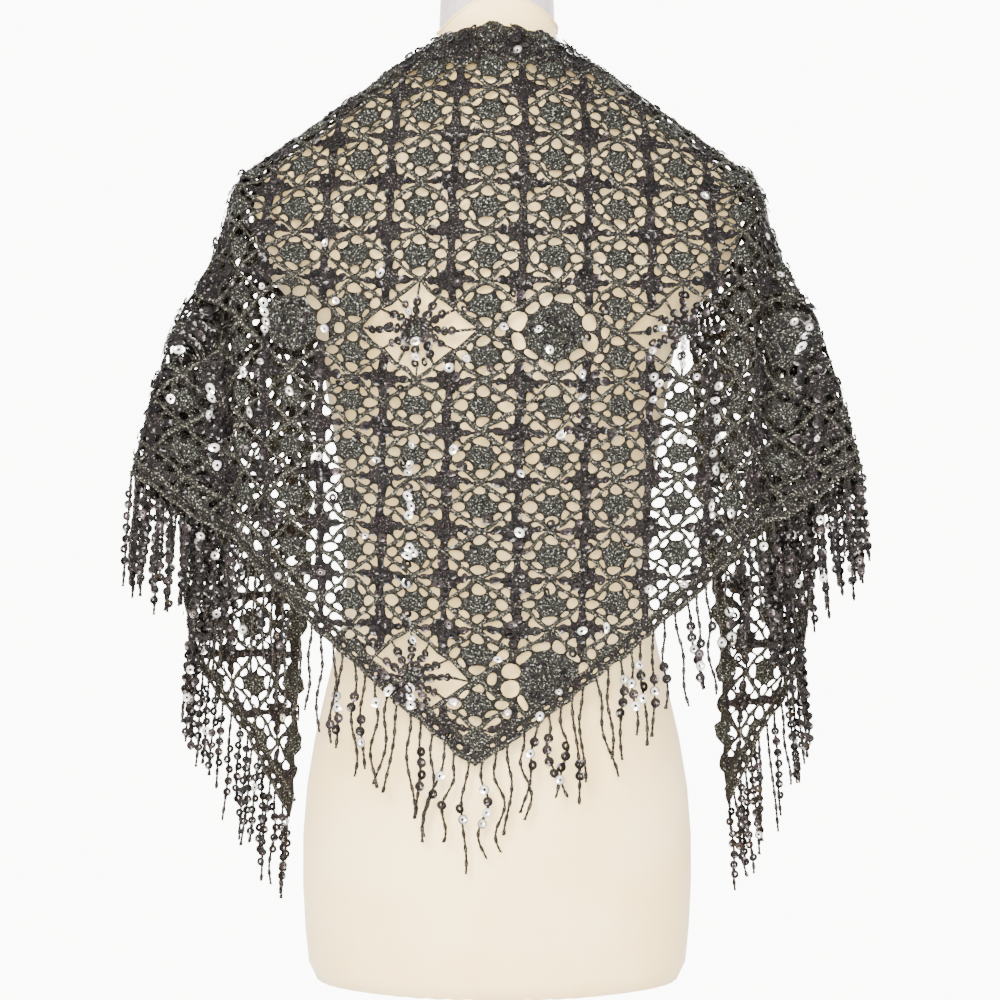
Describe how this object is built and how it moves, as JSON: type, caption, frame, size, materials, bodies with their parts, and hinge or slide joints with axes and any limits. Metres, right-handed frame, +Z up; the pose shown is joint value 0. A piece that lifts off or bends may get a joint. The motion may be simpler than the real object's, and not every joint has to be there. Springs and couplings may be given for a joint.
{
  "type": "evening stole on a limbless dress form",
  "caption": "Triangular lurex lace stole with a beaded fringe, draped over the shoulders of a limbless dress form on a round stand.",
  "frame": {"origin": "on the floor, at the middle of the underside of the stand's base", "axes": "+Z up, +Y the way the form's chest faces, +X towards the form's right-hand side as seen from its back, which is its own right shoulder"},
  "size_m": [0.595, 0.36, 1.5],
  "materials": {
    "lurex_lace": "knitted lace with a metallic glint",
    "black_thread": "twisted thread with sequins",
    "cream_jersey": "smooth matt jersey",
    "pale_grey_plastic": "satin",
    "white_painted_steel": "satin"
  },
  "bodies": {
    "root": {"stole_back": "lurex_lace", "stole_left_side": "lurex_lace", "stole_left_tail": "lurex_lace", "stole_right_side": "lurex_lace", "stole_right_tail": "lurex_lace", "fringe_left_back": "black_thread", "fringe_left_side": "black_thread", "fringe_left_tail": "black_thread", "fringe_right_back": "black_thread", "fringe_right_side": "black_thread", "fringe_right_tail": "black_thread", "form_torso": "cream_jersey", "form_neck": "pale_grey_plastic", "stand_pole": "white_painted_steel", "stand_base": "white_painted_steel"}
  },
  "joints": []
}
